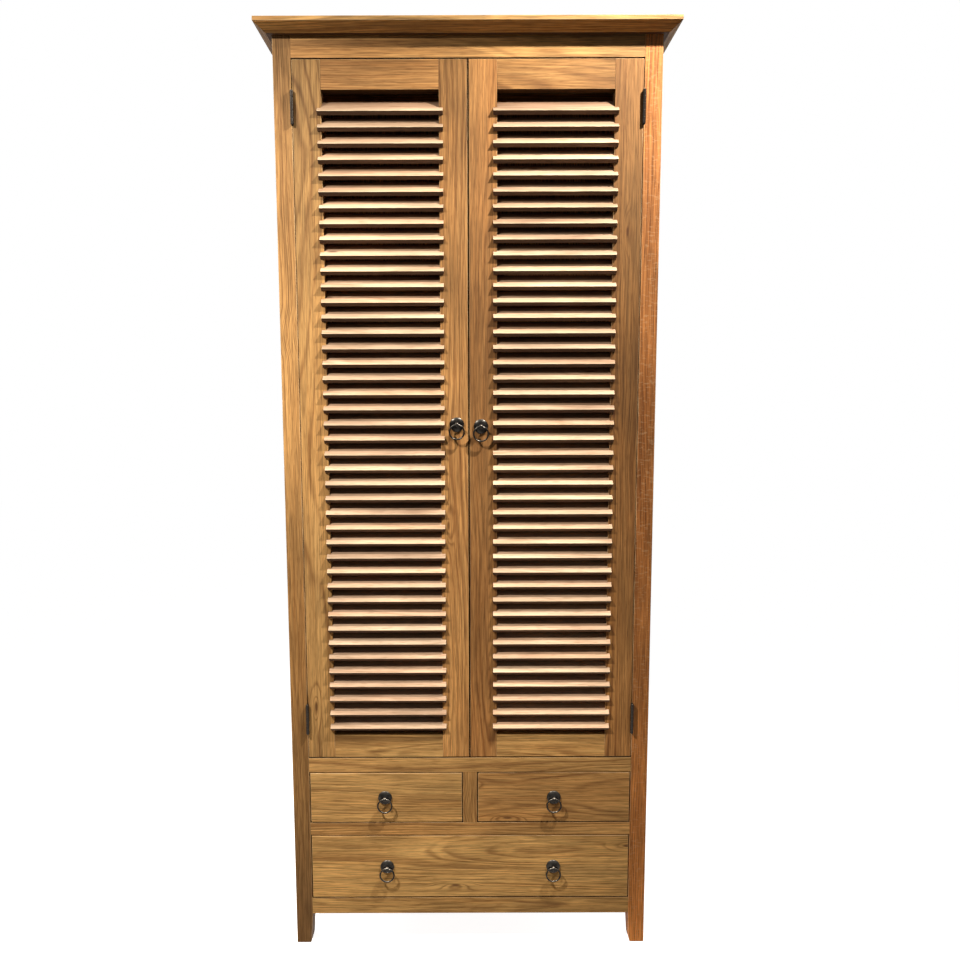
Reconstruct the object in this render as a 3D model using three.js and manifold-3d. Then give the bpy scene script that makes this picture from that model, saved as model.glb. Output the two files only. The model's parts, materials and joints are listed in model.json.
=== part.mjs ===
// Louvred door cabinet: two louvred doors over two small drawers and one large drawer.
// Millimetres, +Z up, the front faces -Y, and the origin is the bottom centre of the whole cabinet.
import * as THREE from 'three';
import { mergeVertices } from 'three/addons/utils/BufferGeometryUtils.js';
import Module from 'manifold-3d';

const wasm = await Module();
wasm.setup();

// Carcass
const carcassWidth = 800;
const carcassDepth = 450;
const postWidth = 37;
const postDepth = 42;
const toeWidth = 32;

// Heights of the front, from the floor up
const footHeight = 71.7;
const bottomRailHeight = 38.3;
const largeDrawerOpening = 152;
const drawerRailHeight = 30;
const smallDrawerOpening = 120;
const waistRailHeight = 34;
const doorOpening = 1499;
const topRailHeight = 46;

// Stock thicknesses
const frameStock = 26;
const boardThickness = 18;
const sidePanelThickness = 15;
const backPanelThickness = 9;
const topBoardThickness = 22;

// Joinery
const jointGap = 0.3;
const overrun = 2;
const tenonLength = 15;
const tenonThickness = 10;
const tenonShoulder = 5;
const stubLength = 8;
const grooveDepth = 8;
const dadoDepth = 5;
const sidePanelRecess = 8;
const backPanelRecess = 8;

// Cornice moulding round the top board
const corniceLap = 2.2;
const corniceSoffit = 10;
const corniceOverhang = 32;
const corniceEdgeHeight = 8.6;

// Boards inside
const dividerWidth = 32;
const dividerDepth = 40;
const guideHeight = 20;
const stopLip = 8;
const doorStopGap = 0.5;
const shelfSetback = 10;
const shelfShares = [0.34, 0.67];

// Doors
const doorSideGap = 1.5;
const doorEdgeGap = 2.6;
const meetingGap = 3.2;
const stileWidth = 58.5;
const doorTopRail = 59.4;
const doorBottomRail = 52.4;

// Louvres: the slats slope down to the front, and their noses stand in front of the stiles
const slatCount = 42;
const slatThickness = 10;
const slatWidth = 36.5;
const slatTilt = Math.PI / 4;
const noseReach = 8;
const hornReach = 8;
const firstSlatDrop = 44;
const lastSlatRise = 17;
const beadDepth = 7;

// Butt hinges
const leafHeight = 70;
const leafWidth = 20;
const leafThickness = 1.3;
const barrelRadius = 3.5;
const barrelClearance = 0.4;
const pinRadius = 1.5;
const knuckleCount = 5;
const upperHingeDrop = 1;
const lowerHingeRise = 2;

// Drawers
const drawerFrontThickness = 20;
const drawerSideGap = 2.2;
const drawerEdgeGap = 2.2;
const drawerRunGap = 0.6;
const drawerBackGap = 2.7;
const drawerWall = 12;
const smallBoxHeight = 100;
const largeBoxHeight = 130;
const drawerBottomThickness = 6;
const drawerBottomRise = 8;
const drawerBottomLet = 5;

// Ring pulls
const rosetteRadius = 15.6;
const rosetteRim = 2;
const rosetteRise = 6;
const ringRadius = 15.7;
const ringWire = 1.8;
const eyeReach = 9.5;
const lugRadius = 4.8;
const lugWidth = 6;
const eyeRadius = 2.6;
const neckRadius = 3;
const stemRadius = 1.8;
const nutRadius = 4.5;
const nutHeight = 3.5;
const doorPullInset = 24.3;
const leftDoorPullHeight = 1195;
const rightDoorPullHeight = 1191;
const leftDrawerPullOffset = 192.3;
const rightDrawerPullOffset = 189.5;
const largeDrawerPullOffset = 189.5;

// Facets of the round pieces
const rodSides = 10;
const barrelSides = 12;
const rosetteSides = 16;
const domeSteps = 3;
const ringSides = 6;
const ringSteps = 24;
const nutSides = 6;

// Finishes
const teak = { color: '#b08149', roughness: 0.55, metalness: 0 };
const slatTeak = { color: '#c99a62', roughness: 0.55, metalness: 0 };
const innerTeak = { color: '#8f6a42', roughness: 0.7, metalness: 0 };
const bronze = { color: '#3b332d', roughness: 0.35, metalness: 0.9 };
const hingeBronze = { color: '#4a4039', roughness: 0.4, metalness: 0.9 };

// Places that the sizes above give
const halfWidth = carcassWidth / 2;
const front = (corniceOverhang - carcassDepth) / 2;
const back = front + carcassDepth;
const postInner = halfWidth - postWidth;
const frontPostBack = front + postDepth;
const backPostFront = back - postDepth;
const panelOuter = halfWidth - sidePanelRecess;
const panelInner = panelOuter - sidePanelThickness;
const backPanelRear = back - backPanelRecess;
const backPanelFront = backPanelRear - backPanelThickness;
const frameBack = front + frameStock;

const largeDrawerBase = footHeight + bottomRailHeight;
const drawerRailBase = largeDrawerBase + largeDrawerOpening;
const smallDrawerBase = drawerRailBase + drawerRailHeight;
const waistRailBase = smallDrawerBase + smallDrawerOpening;
const doorwayBase = waistRailBase + waistRailHeight;
const doorwayTop = doorwayBase + doorOpening;
const postTop = doorwayTop + topRailHeight;
const boardUnderside = postTop + jointGap;
const cabinetTop = boardUnderside + topBoardThickness;

const doorBase = doorwayBase + doorEdgeGap;
const doorTop = doorwayTop - doorEdgeGap;
const hingeEdge = postInner - doorSideGap;
const meetingEdge = meetingGap / 2;
const louvreBase = doorBase + doorBottomRail;
const louvreTop = doorTop - doorTopRail;
const louvreOuter = hingeEdge - stileWidth;
const louvreInner = meetingEdge + stileWidth;

const cupboardFloorTop = doorwayBase + stopLip;
const floorBases = {
  bottom: largeDrawerBase - boardThickness,
  dust: smallDrawerBase - boardThickness,
  cupboard: cupboardFloorTop - boardThickness,
};
const shelfBases = shelfShares.map((share) => cupboardFloorTop + share * (postTop - cupboardFloorTop));
const boardBases = [...Object.values(floorBases), ...shelfBases];

const barrelAxis = front - barrelRadius - barrelClearance;
const hingeCentres = [
  louvreTop - upperHingeDrop - leafHeight / 2,
  louvreBase + lowerHingeRise + leafHeight / 2,
];

const rails = {
  top_front_rail: [doorwayTop, postTop],
  waist_front_rail: [waistRailBase, doorwayBase],
  drawer_front_rail: [drawerRailBase, smallDrawerBase],
  bottom_front_rail: [footHeight, largeDrawerBase],
};

// The two ends of a span on one side of the middle, low end first; side is -1 on the left, 1 on the right
function sideSpan(side, near, far) {
  return side > 0 ? [near, far] : [-far, -near];
}

function grow([low, high], by) {
  return [low - by, high + by];
}

function shrink(span, by) {
  return grow(span, -by);
}

// A span about its middle, of the given thickness
function centred([low, high], thickness) {
  const middle = (low + high) / 2;
  return [middle - thickness / 2, middle + thickness / 2];
}

function block([x0, x1], [y0, y1], [z0, z1]) {
  const geometry = new THREE.BoxGeometry(x1 - x0, y1 - y0, z1 - z0);
  geometry.translate((x0 + x1) / 2, (y0 + y1) / 2, (z0 + z1) / 2);
  return geometry;
}

// A round rod along x, y or z; place holds its two other coordinates in x, y, z order
function rod(axis, place, [start, end], radius, sides = rodSides) {
  const geometry = new THREE.CylinderGeometry(radius, radius, end - start, sides);
  geometry.translate(0, (start + end) / 2, 0);
  if (axis === 'x') {
    geometry.rotateZ(-Math.PI / 2);
    geometry.translate(0, place[0], place[1]);
  } else if (axis === 'y') {
    geometry.translate(place[0], 0, place[1]);
  } else {
    geometry.rotateX(Math.PI / 2);
    geometry.translate(place[0], place[1], 0);
  }
  return geometry;
}

function outline(points) {
  return new THREE.Shape(points.map(([u, v]) => new THREE.Vector2(u, v)));
}

function slab(points, [z0, z1]) {
  const geometry = new THREE.ExtrudeGeometry(outline(points), { depth: z1 - z0, bevelEnabled: false });
  geometry.translate(0, 0, z0);
  return geometry;
}

// An outline in x and z, carried along y
function upright(points, [y0, y1]) {
  const geometry = new THREE.ExtrudeGeometry(outline(points), { depth: y1 - y0, bevelEnabled: false });
  geometry.rotateX(Math.PI / 2);
  geometry.translate(0, y1, 0);
  return geometry;
}

function toSolid(geometry) {
  const bare = geometry.clone();
  bare.deleteAttribute('normal');
  bare.deleteAttribute('uv');
  const merged = mergeVertices(bare);
  return new wasm.Manifold(new wasm.Mesh({
    numProp: 3,
    vertProperties: new Float32Array(merged.attributes.position.array),
    triVerts: new Uint32Array(merged.index.array),
  }));
}

function toGeometry(solid) {
  const mesh = solid.getMesh();
  const geometry = new THREE.BufferGeometry();
  geometry.setAttribute('position', new THREE.BufferAttribute(mesh.vertProperties, 3));
  geometry.setIndex(new THREE.BufferAttribute(mesh.triVerts, 1));
  geometry.computeVertexNormals();
  return geometry;
}

// Joins the pieces into one solid, then takes the cutters away
function shaped(pieces, cutters = []) {
  let solid = toSolid(pieces[0]);
  for (const piece of pieces.slice(1)) {
    solid = solid.add(toSolid(piece));
  }
  for (const cutter of cutters) {
    solid = solid.subtract(toSolid(cutter));
  }
  return toGeometry(solid);
}

const cabinet = new THREE.Group();

function place(parent, name, geometry, finish, position = [0, 0, 0]) {
  const mesh = new THREE.Mesh(geometry, new THREE.MeshStandardMaterial(finish));
  mesh.name = name;
  mesh.position.set(...position);
  parent.add(mesh);
}

const sides = { left: -1, right: 1 };

// Posts: front posts take the rails and the side panels, back posts the side and back panels
function postBlank(side, depthSpan) {
  const points = [
    [side * halfWidth, 0],
    [side * (halfWidth - toeWidth), 0],
    [side * postInner, footHeight],
    [side * postInner, postTop],
    [side * halfWidth, postTop],
  ];
  return upright(points, depthSpan);
}

function panelGroove(side, depthSpan) {
  const across = grow(sideSpan(side, panelInner, panelOuter), jointGap);
  return block(across, depthSpan, [footHeight - jointGap, postTop + overrun]);
}

function railTenonHeights([base, top]) {
  return [base + tenonShoulder, top - tenonShoulder];
}

function railMortise(side, heights) {
  const across = sideSpan(side, postInner - overrun, postInner + tenonLength + jointGap);
  const depth = grow(centred([front, frameBack], tenonThickness), jointGap);
  return block(across, depth, grow(railTenonHeights(heights), jointGap));
}

function hingeHeights(centre, clearance) {
  return grow(centred([centre, centre], leafHeight), clearance);
}

function leafRecess(side, near, far, centre) {
  const depth = [front - overrun, front + leafWidth + jointGap];
  return block(sideSpan(side, near, far), depth, hingeHeights(centre, jointGap));
}

function frontPost(side) {
  const groove = panelGroove(side, [frontPostBack - grooveDepth - jointGap, frontPostBack + overrun]);
  const mortises = Object.values(rails).map((heights) => railMortise(side, heights));
  const recessFloor = postInner + leafThickness + jointGap;
  const recesses = hingeCentres.map((centre) => leafRecess(side, postInner - overrun, recessFloor, centre));
  return shaped([postBlank(side, [front, frontPostBack])], [groove, ...mortises, ...recesses]);
}

function backPost(side) {
  const groove = panelGroove(side, [backPostFront - overrun, backPostFront + grooveDepth + jointGap]);
  const across = sideSpan(side, postInner - overrun, postInner + grooveDepth + jointGap);
  const depth = grow([backPanelFront, backPanelRear], jointGap);
  const rearGroove = block(across, depth, [footHeight - jointGap, postTop + overrun]);
  return shaped([postBlank(side, [backPostFront, back])], [groove, rearGroove]);
}

// Side panels stand in the posts' grooves and house the boards in dadoes
function sidePanel(side) {
  const depth = [frontPostBack - grooveDepth, backPostFront + grooveDepth];
  const panel = block(sideSpan(side, panelInner, panelOuter), depth, [footHeight, postTop]);
  const dadoes = boardBases.map((base) => block(
    sideSpan(side, panelInner - overrun, panelInner + dadoDepth),
    grow(depth, overrun),
    grow([base, base + boardThickness], jointGap),
  ));
  return shaped([panel], dadoes);
}

function backPanel() {
  const reach = postInner + grooveDepth;
  return block([-reach, reach], [backPanelFront, backPanelRear], [footHeight, postTop]);
}

// Front rails, tenoned into the posts; the divider's stub tenons go into two of them
function dividerStub(clearance, heights) {
  const across = grow(centred([0, 0], dividerWidth), clearance - tenonShoulder);
  const depth = grow(centred([front, frameBack], tenonThickness), clearance);
  return block(across, depth, grow(heights, clearance));
}

function frontRail(name) {
  const [base, top] = rails[name];
  const shoulder = postInner - jointGap;
  const tenonEnd = postInner + tenonLength;
  const bar = block([-shoulder, shoulder], [front, frameBack], [base, top]);
  const depth = centred([front, frameBack], tenonThickness);
  const tenons = block([-tenonEnd, tenonEnd], depth, railTenonHeights([base, top]));
  const stubs = {
    drawer_front_rail: [smallDrawerBase - stubLength, smallDrawerBase + overrun],
    waist_front_rail: [waistRailBase - overrun, waistRailBase + stubLength],
  };
  const sockets = name in stubs ? [dividerStub(jointGap, stubs[name])] : [];
  return shaped([bar, tenons], sockets);
}

function drawerDivider() {
  const heights = shrink([smallDrawerBase, waistRailBase], jointGap);
  const body = block(centred([0, 0], dividerWidth), [front, front + dividerDepth], heights);
  const stubHeights = [smallDrawerBase - stubLength, waistRailBase + stubLength];
  return shaped([body, dividerStub(0, stubHeights)]);
}

// Boards: notched round the four posts, with their ends in the dadoes of the side panels
function boardOutline(frontEdge) {
  const narrow = postInner - jointGap;
  const wide = panelInner + dadoDepth - jointGap;
  const rightHalf = [
    [narrow, frontEdge],
    [narrow, frontPostBack + jointGap],
    [wide, frontPostBack + jointGap],
    [wide, backPostFront - jointGap],
    [narrow, backPostFront - jointGap],
    [narrow, backPanelFront - jointGap],
  ];
  const leftHalf = rightHalf.map(([x, y]) => [-x, y]).reverse();
  return [...rightHalf, ...leftHalf];
}

function board(frontEdge, base) {
  return slab(boardOutline(frontEdge), [base, base + boardThickness]);
}

// A board that drawers slide on, with a guide strip along each side
function drawerBoard(base, middleGuide) {
  const guideTop = base + boardThickness + guideHeight;
  const depth = shrink([frontPostBack, backPostFront], jointGap);
  const guides = Object.values(sides).map((side) => block(
    sideSpan(side, postInner, panelInner - jointGap),
    depth,
    [base, guideTop],
  ));
  if (middleGuide) {
    const run = [front + dividerDepth + jointGap, depth[1]];
    guides.push(block(centred([0, 0], dividerWidth), run, [base, guideTop]));
  }
  return shaped([board(frameBack + jointGap, base), ...guides]);
}

// Cornice: a moulding with mitred front corners, laid against the top board and the top of the carcass
function corniceProfile() {
  const soffit = postTop - corniceLap;
  return [
    [jointGap, soffit],
    [corniceSoffit, soffit],
    [corniceOverhang, cabinetTop - corniceEdgeHeight],
    [corniceOverhang, cabinetTop],
    [jointGap, cabinetTop],
  ];
}

// Carries the profile along a run; runOf gives the run's two ends for a distance from the carcass, and
// toPlace turns that distance, the height and the place along the run into x, y and z
function moulding(runOf, toPlace) {
  const geometry = new THREE.ExtrudeGeometry(outline(corniceProfile()), { depth: 1, bevelEnabled: false });
  const position = geometry.attributes.position;
  for (let i = 0; i < position.count; i += 1) {
    const distance = position.getX(i);
    const height = position.getY(i);
    const end = Math.round(position.getZ(i));
    position.setXYZ(i, ...toPlace(distance, height, runOf(distance)[end]));
  }
  geometry.computeVertexNormals();
  return geometry;
}

function corniceFront() {
  const reach = (distance) => halfWidth + distance - jointGap;
  return moulding(
    (distance) => [reach(distance), -reach(distance)],
    (distance, height, along) => [along, front - distance, height],
  );
}

function corniceSide(side) {
  const ends = (distance) => [front - distance + jointGap, back];
  return moulding(
    (distance) => (side > 0 ? ends(distance).reverse() : ends(distance)),
    (distance, height, along) => [side * (halfWidth + distance), along, height],
  );
}

function topBoard() {
  return block([-halfWidth, halfWidth], [front, back], [boardUnderside, cabinetTop]);
}

// Louvre slats; the slat's top front edge is at the origin before it is placed
const slatPitch = (louvreTop - firstSlatDrop - louvreBase - lastSlatRise) / (slatCount - 1);

function slatAt(index, [x0, x1], clearance) {
  const across = [x0, x1];
  const slat = block(across, grow([0, slatWidth], clearance), grow([-slatThickness, 0], clearance));
  slat.rotateX(slatTilt);
  slat.translate(0, front - noseReach, louvreTop - firstSlatDrop - index * slatPitch);
  return slat;
}

function eachSlat(span, clearance) {
  return Array.from({ length: slatCount }, (_, index) => slatAt(index, span, clearance));
}

function louvres(side) {
  const ends = sideSpan(side, louvreInner - hornReach, louvreOuter + hornReach);
  const depth = [frameBack - beadDepth, frameBack];
  const heights = shrink([louvreBase, louvreTop], jointGap);
  const innerBead = block(sideSpan(side, louvreInner - hornReach, louvreInner), depth, heights);
  const outerBead = block(sideSpan(side, louvreOuter, louvreOuter + hornReach), depth, heights);
  return shaped([innerBead, ...eachSlat(ends, 0), outerBead]);
}

// Stiles: grooved for the slats, rebated for the beads, mortised for the door's rails
function doorRailHeights() {
  return [
    [doorBase, louvreBase],
    [louvreTop, doorTop],
  ];
}

function louvreCuts(side, near, far) {
  const rebate = block(
    sideSpan(side, near, far),
    [frameBack - beadDepth - jointGap, frameBack + overrun],
    [louvreBase, louvreTop],
  );
  return [rebate, ...eachSlat(sideSpan(side, near, far), jointGap)];
}

function stileMortises(side, near, far) {
  const depth = grow(centred([front, frameBack], tenonThickness), jointGap);
  return doorRailHeights().map((heights) => block(
    sideSpan(side, near, far),
    depth,
    grow(railTenonHeights(heights), jointGap),
  ));
}

function hingeStile(side) {
  const blank = block(sideSpan(side, louvreOuter, hingeEdge), [front, frameBack], [doorBase, doorTop]);
  const slots = louvreCuts(side, louvreOuter - overrun, louvreOuter + hornReach + jointGap);
  const mortises = stileMortises(side, louvreOuter - overrun, louvreOuter + tenonLength + jointGap);
  const recessFloor = hingeEdge - leafThickness - jointGap;
  const recesses = hingeCentres.map((centre) => leafRecess(side, recessFloor, hingeEdge + overrun, centre));
  return shaped([blank], [...slots, ...mortises, ...recesses]);
}

function meetingStile(side, pullHeight) {
  const blank = block(sideSpan(side, meetingEdge, louvreInner), [front, frameBack], [doorBase, doorTop]);
  const slots = louvreCuts(side, louvreInner - hornReach - jointGap, louvreInner + overrun);
  const mortises = stileMortises(side, louvreInner - tenonLength - jointGap, louvreInner + overrun);
  const hole = stemHole(side * (meetingEdge + doorPullInset), pullHeight, frameStock);
  return shaped([blank], [...slots, ...mortises, hole]);
}

function doorRail(side, heights) {
  const bar = block(shrink(sideSpan(side, louvreInner, louvreOuter), jointGap), [front, frameBack], heights);
  const across = grow(sideSpan(side, louvreInner, louvreOuter), tenonLength);
  const depth = centred([front, frameBack], tenonThickness);
  return shaped([bar, block(across, depth, railTenonHeights(heights))]);
}

// Butt hinges, drawn about the pin: toPost is 1 where the post is on the right
const leafNear = doorSideGap / 2;
const leafFar = leafNear + leafThickness;
const faceFromPin = barrelRadius + barrelClearance;
const knuckleLength = leafHeight / knuckleCount;

function hingeLeaf(toward, ownsEven) {
  const across = sideSpan(toward, leafNear, leafFar);
  const plate = block(across, [faceFromPin, faceFromPin + leafWidth], hingeHeights(0, 0));
  const knuckles = [];
  for (let index = 0; index < knuckleCount; index += 1) {
    if ((index % 2 === 0) === ownsEven) {
      const low = index * knuckleLength - leafHeight / 2;
      const heights = shrink([low, low + knuckleLength], jointGap / 2);
      knuckles.push(rod('z', [0, 0], heights, barrelRadius, barrelSides));
      knuckles.push(block(across, [0, faceFromPin + leafThickness], heights));
    }
  }
  return [plate, ...knuckles];
}

function frameLeaf(toPost) {
  const pin = rod('z', [0, 0], shrink(hingeHeights(0, 0), jointGap / 2), pinRadius);
  return shaped([...hingeLeaf(toPost, true), pin]);
}

function doorLeaf(toPost) {
  const bore = rod('z', [0, 0], hingeHeights(0, overrun), pinRadius + jointGap);
  return shaped(hingeLeaf(-toPost, false), [bore]);
}

// Ring pulls: the base is drawn about the point where its stem enters the wood
function stemHole(x, z, thickness) {
  return rod('y', [x, z], [front - overrun, front + thickness + overrun], stemRadius + jointGap);
}

function rosette() {
  const points = [new THREE.Vector2(0, -rosetteRise)];
  for (let step = 1; step < domeSteps; step += 1) {
    const angle = (step / domeSteps) * (Math.PI / 2);
    const height = rosetteRim + (rosetteRise - rosetteRim) * Math.cos(angle);
    points.push(new THREE.Vector2(rosetteRadius * Math.sin(angle), -height));
  }
  points.push(new THREE.Vector2(rosetteRadius, -rosetteRim));
  points.push(new THREE.Vector2(rosetteRadius, -jointGap));
  points.push(new THREE.Vector2(0, -jointGap));
  return new THREE.LatheGeometry(points, rosetteSides);
}

function pullBase(thickness) {
  const stem = rod('y', [0, 0], [-rosetteRim, thickness + jointGap + nutHeight], stemRadius);
  const nut = rod('y', [0, 0], [thickness + jointGap, thickness + jointGap + nutHeight], nutRadius, nutSides);
  const neck = rod('y', [0, 0], [-eyeReach, -rosetteRim], neckRadius);
  const lug = rod('x', [-eyeReach, 0], centred([0, 0], lugWidth), lugRadius);
  const eye = rod('x', [-eyeReach, 0], centred([0, 0], lugWidth + overrun), eyeRadius);
  return shaped([rosette(), stem, nut, neck, lug], [eye]);
}

function pullRing() {
  const ring = new THREE.TorusGeometry(ringRadius, ringWire, ringSides, ringSteps);
  ring.rotateX(Math.PI / 2);
  ring.translate(0, 0, -ringRadius);
  return ring;
}

function addPull(name, x, z, thickness) {
  const pull = new THREE.Group();
  pull.position.set(x, front, z);
  place(pull, `${name}_base`, pullBase(thickness), bronze);
  place(pull, `${name}_ring`, pullRing(), bronze, [0, -eyeReach, 0]);
  cabinet.add(pull);
}

// Drawers: a front, a box of two sides and a back, and a bottom let into the box
function drawerFront([x0, x1], heights, pulls) {
  const depth = [front, front + drawerFrontThickness];
  const middle = (heights[0] + heights[1]) / 2;
  const holes = pulls.map((x) => stemHole(x, middle, drawerFrontThickness));
  return shaped([block([x0, x1], depth, heights)], holes);
}

const boxFront = front + drawerFrontThickness + jointGap;
const boxBack = backPostFront - drawerBackGap;

function drawerBox(span, base, height) {
  const bottomBase = base + drawerBottomRise;
  const inside = shrink(span, drawerWall);
  const heights = [base, base + height];
  const shell = block(span, [boxFront, boxBack], heights);
  const hollow = block(inside, [boxFront - overrun, boxBack - drawerWall], grow(heights, overrun));
  const groove = block(
    grow(inside, drawerBottomLet),
    [boxFront - overrun, boxBack - drawerWall + drawerBottomLet],
    grow([bottomBase, bottomBase + drawerBottomThickness], jointGap),
  );
  return shaped([shell], [hollow, groove]);
}

function drawerBottom(span, base) {
  const bottomBase = base + drawerBottomRise;
  const across = grow(shrink(span, drawerWall), drawerBottomLet - jointGap);
  const depth = [boxFront, boxBack - drawerWall + drawerBottomLet - jointGap];
  return block(across, depth, [bottomBase, bottomBase + drawerBottomThickness]);
}

function addDrawer(name, span, [openingBase, openingTop], boxHeight, pulls) {
  const heights = shrink([openingBase, openingTop], drawerEdgeGap);
  const middle = (openingBase + openingTop) / 2;
  const base = openingBase + drawerRunGap;
  const places = Object.values(pulls);
  place(cabinet, `${name}_front`, drawerFront(span, heights, places), teak);
  place(cabinet, `${name}_box`, drawerBox(span, base, boxHeight), innerTeak);
  place(cabinet, `${name}_bottom`, drawerBottom(span, base), innerTeak);
  for (const [pullName, x] of Object.entries(pulls)) {
    addPull(pullName, x, middle, drawerFrontThickness);
  }
}

// The cabinet, piece by piece
for (const [name, side] of Object.entries(sides)) {
  place(cabinet, `front_${name}_post`, frontPost(side), teak);
  place(cabinet, `back_${name}_post`, backPost(side), teak);
  place(cabinet, `${name}_side_panel`, sidePanel(side), teak);
  place(cabinet, `cornice_${name}`, corniceSide(side), teak);
}
place(cabinet, 'cornice_front', corniceFront(), teak);
place(cabinet, 'top_board', topBoard(), teak);
place(cabinet, 'back_panel', backPanel(), innerTeak);
for (const name of Object.keys(rails)) {
  place(cabinet, name, frontRail(name), teak);
}
place(cabinet, 'drawer_divider', drawerDivider(), teak);
place(cabinet, 'bottom_board', drawerBoard(floorBases.bottom, false), innerTeak);
place(cabinet, 'dust_board', drawerBoard(floorBases.dust, true), innerTeak);
place(cabinet, 'cupboard_floor', board(frameBack + doorStopGap, floorBases.cupboard), innerTeak);
place(cabinet, 'lower_shelf', board(frameBack + shelfSetback, shelfBases[0]), innerTeak);
place(cabinet, 'upper_shelf', board(frameBack + shelfSetback, shelfBases[1]), innerTeak);

const doorPullHeights = { left: leftDoorPullHeight, right: rightDoorPullHeight };
const [bottomRailHeights, topRailHeights] = doorRailHeights();
for (const [name, side] of Object.entries(sides)) {
  const pullHeight = doorPullHeights[name];
  place(cabinet, `${name}_door_hinge_stile`, hingeStile(side), teak);
  place(cabinet, `${name}_door_meeting_stile`, meetingStile(side, pullHeight), teak);
  place(cabinet, `${name}_door_top_rail`, doorRail(side, topRailHeights), teak);
  place(cabinet, `${name}_door_bottom_rail`, doorRail(side, bottomRailHeights), teak);
  place(cabinet, `${name}_door_louvres`, louvres(side), slatTeak);
  addPull(`${name}_door_pull`, side * (meetingEdge + doorPullInset), pullHeight, frameStock);
  ['upper', 'lower'].forEach((level, index) => {
    const hinge = new THREE.Group();
    hinge.position.set(side * (postInner - doorSideGap / 2), barrelAxis, hingeCentres[index]);
    place(hinge, `${name}_${level}_hinge_frame_leaf`, frameLeaf(side), hingeBronze);
    place(hinge, `${name}_${level}_hinge_door_leaf`, doorLeaf(side), hingeBronze);
    cabinet.add(hinge);
  });
}

const smallOpening = [smallDrawerBase, waistRailBase];
const smallPullOffsets = { left: leftDrawerPullOffset, right: rightDrawerPullOffset };
const smallNear = dividerWidth / 2 + drawerSideGap;
const drawerReach = postInner - drawerSideGap;
for (const [name, side] of Object.entries(sides)) {
  const across = sideSpan(side, smallNear, drawerReach);
  const pulls = { [`${name}_drawer_pull`]: side * smallPullOffsets[name] };
  addDrawer(`${name}_drawer`, across, smallOpening, smallBoxHeight, pulls);
}
addDrawer('large_drawer', [-drawerReach, drawerReach], [largeDrawerBase, drawerRailBase], largeBoxHeight, {
  large_drawer_left_pull: -largeDrawerPullOffset,
  large_drawer_right_pull: largeDrawerPullOffset,
});

export default cabinet;
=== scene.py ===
# %% [markdown]
# # A louvred cabinet in teak
# The cabinet is a joiner's piece: planed boards, two doors full of slats, three drawers and a little dark
# bronze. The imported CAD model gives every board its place. This notebook gives the boards rounded arrises
# and real grain, models the slats, pulls and hinges again in full detail, and lights them like a shop floor.

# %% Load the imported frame
import json
import math

import bmesh
import bpy
import numpy as np
from mathutils import Matrix, Vector


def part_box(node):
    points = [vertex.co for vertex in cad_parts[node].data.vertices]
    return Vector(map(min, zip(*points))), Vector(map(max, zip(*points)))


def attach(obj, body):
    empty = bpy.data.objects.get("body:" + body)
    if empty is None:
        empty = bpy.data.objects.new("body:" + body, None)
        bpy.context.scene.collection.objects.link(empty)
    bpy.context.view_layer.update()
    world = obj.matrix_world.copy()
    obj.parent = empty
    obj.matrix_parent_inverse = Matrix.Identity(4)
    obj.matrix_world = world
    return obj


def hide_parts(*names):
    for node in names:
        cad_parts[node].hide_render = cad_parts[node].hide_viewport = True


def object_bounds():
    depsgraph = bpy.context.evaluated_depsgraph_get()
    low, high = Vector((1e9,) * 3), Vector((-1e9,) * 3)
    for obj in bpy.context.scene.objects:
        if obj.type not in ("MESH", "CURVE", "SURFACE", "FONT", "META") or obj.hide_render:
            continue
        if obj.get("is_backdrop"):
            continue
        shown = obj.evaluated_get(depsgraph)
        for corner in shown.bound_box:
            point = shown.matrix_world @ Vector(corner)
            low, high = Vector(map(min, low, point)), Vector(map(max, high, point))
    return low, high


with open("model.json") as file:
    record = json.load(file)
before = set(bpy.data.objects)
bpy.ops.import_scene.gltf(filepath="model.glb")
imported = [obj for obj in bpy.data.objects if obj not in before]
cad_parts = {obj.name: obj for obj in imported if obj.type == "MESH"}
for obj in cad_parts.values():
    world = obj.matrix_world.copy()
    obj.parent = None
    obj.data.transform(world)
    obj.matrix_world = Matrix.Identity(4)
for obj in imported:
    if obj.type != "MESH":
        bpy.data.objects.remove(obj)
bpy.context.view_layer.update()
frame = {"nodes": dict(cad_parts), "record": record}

record = frame["record"]
body_of = {node: body for body, nodes in record["behaviour"]["bodies"].items() for node in nodes}
slot_of = {part["node"]: part["material_slot"] for part in record["subparts"]}
print("nodes in the frame:", len(body_of))

# %% [markdown]
# ## Camera
# The photograph is taken square on, under two metres away, from chest height and tilted a little down, so
# the slats and the feet show some perspective. A camera at the same place gives the same convergence. The
# small sideways shift puts the cabinet as far off the middle as the photograph does, and the camera leans a
# sixth of a degree to the right, as the photographer's did.

# %% Camera
MM = 0.001
IMAGE_SIZE = 960
# In pixels of the picture
SIDE_SHIFT = 11.2
EYE_DISTANCE = 1.722
EYE_HEIGHT = 1.266
DOWNWARD = math.radians(6.3226)
LEAN = math.radians(0.17)
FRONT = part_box("front_left_post")[0].y

camera_data = bpy.data.cameras.new("eye")
camera_data.lens = 30
camera_data.sensor_width = 36
camera_data.shift_x = SIDE_SHIFT / IMAGE_SIZE
camera = bpy.data.objects.new("eye", camera_data)
bpy.context.scene.collection.objects.link(camera)
camera.location = (0, FRONT - EYE_DISTANCE, EYE_HEIGHT)
camera.rotation_euler = (math.radians(90) - DOWNWARD, LEAN, 0)
bpy.context.scene.camera = camera
print("camera at", tuple(round(value, 3) for value in camera.location))

# %% [markdown]
# ## Small helpers
# A colour is written as the sRGB hex value that a paint chart would give, and one function turns it into the
# linear numbers that Blender's shaders use. One more function adds a shader node with its settings and links.


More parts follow.
